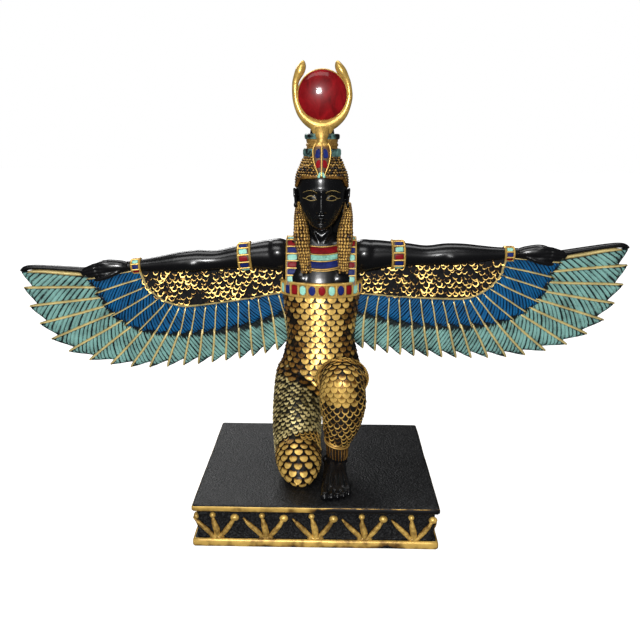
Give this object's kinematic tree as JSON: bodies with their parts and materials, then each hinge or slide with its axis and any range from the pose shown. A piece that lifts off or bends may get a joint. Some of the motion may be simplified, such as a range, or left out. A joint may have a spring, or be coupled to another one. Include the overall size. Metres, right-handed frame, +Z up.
{
  "type": "winged isis statue",
  "caption": "Kneeling winged goddess figurine with horned sun-disc crown, arms held out over feathered wings, on a rectangular plinth with a lotus frieze.",
  "frame": {"origin": "centre of the plinth's underside", "axes": "+X along the spread wings towards the figure's left hand, -Y the way the figure faces, +Z up"},
  "size_m": [0.262, 0.085, 0.1918],
  "materials": {
    "painted_resin": "polished black cast resin",
    "plinth_resin": "pebbled black cast resin, satin",
    "red_enamel": "clear-coated dark red enamel",
    "antique_gold": "hand-painted antique gold, rubbed at the edges",
    "turquoise_paint": "chalky turquoise paint",
    "blue_paint": "deep blue paint"
  },
  "bodies": {
    "root": {"figure": "painted_resin", "plinth": "plinth_resin", "sun_disc": "red_enamel"}
  },
  "joints": []
}
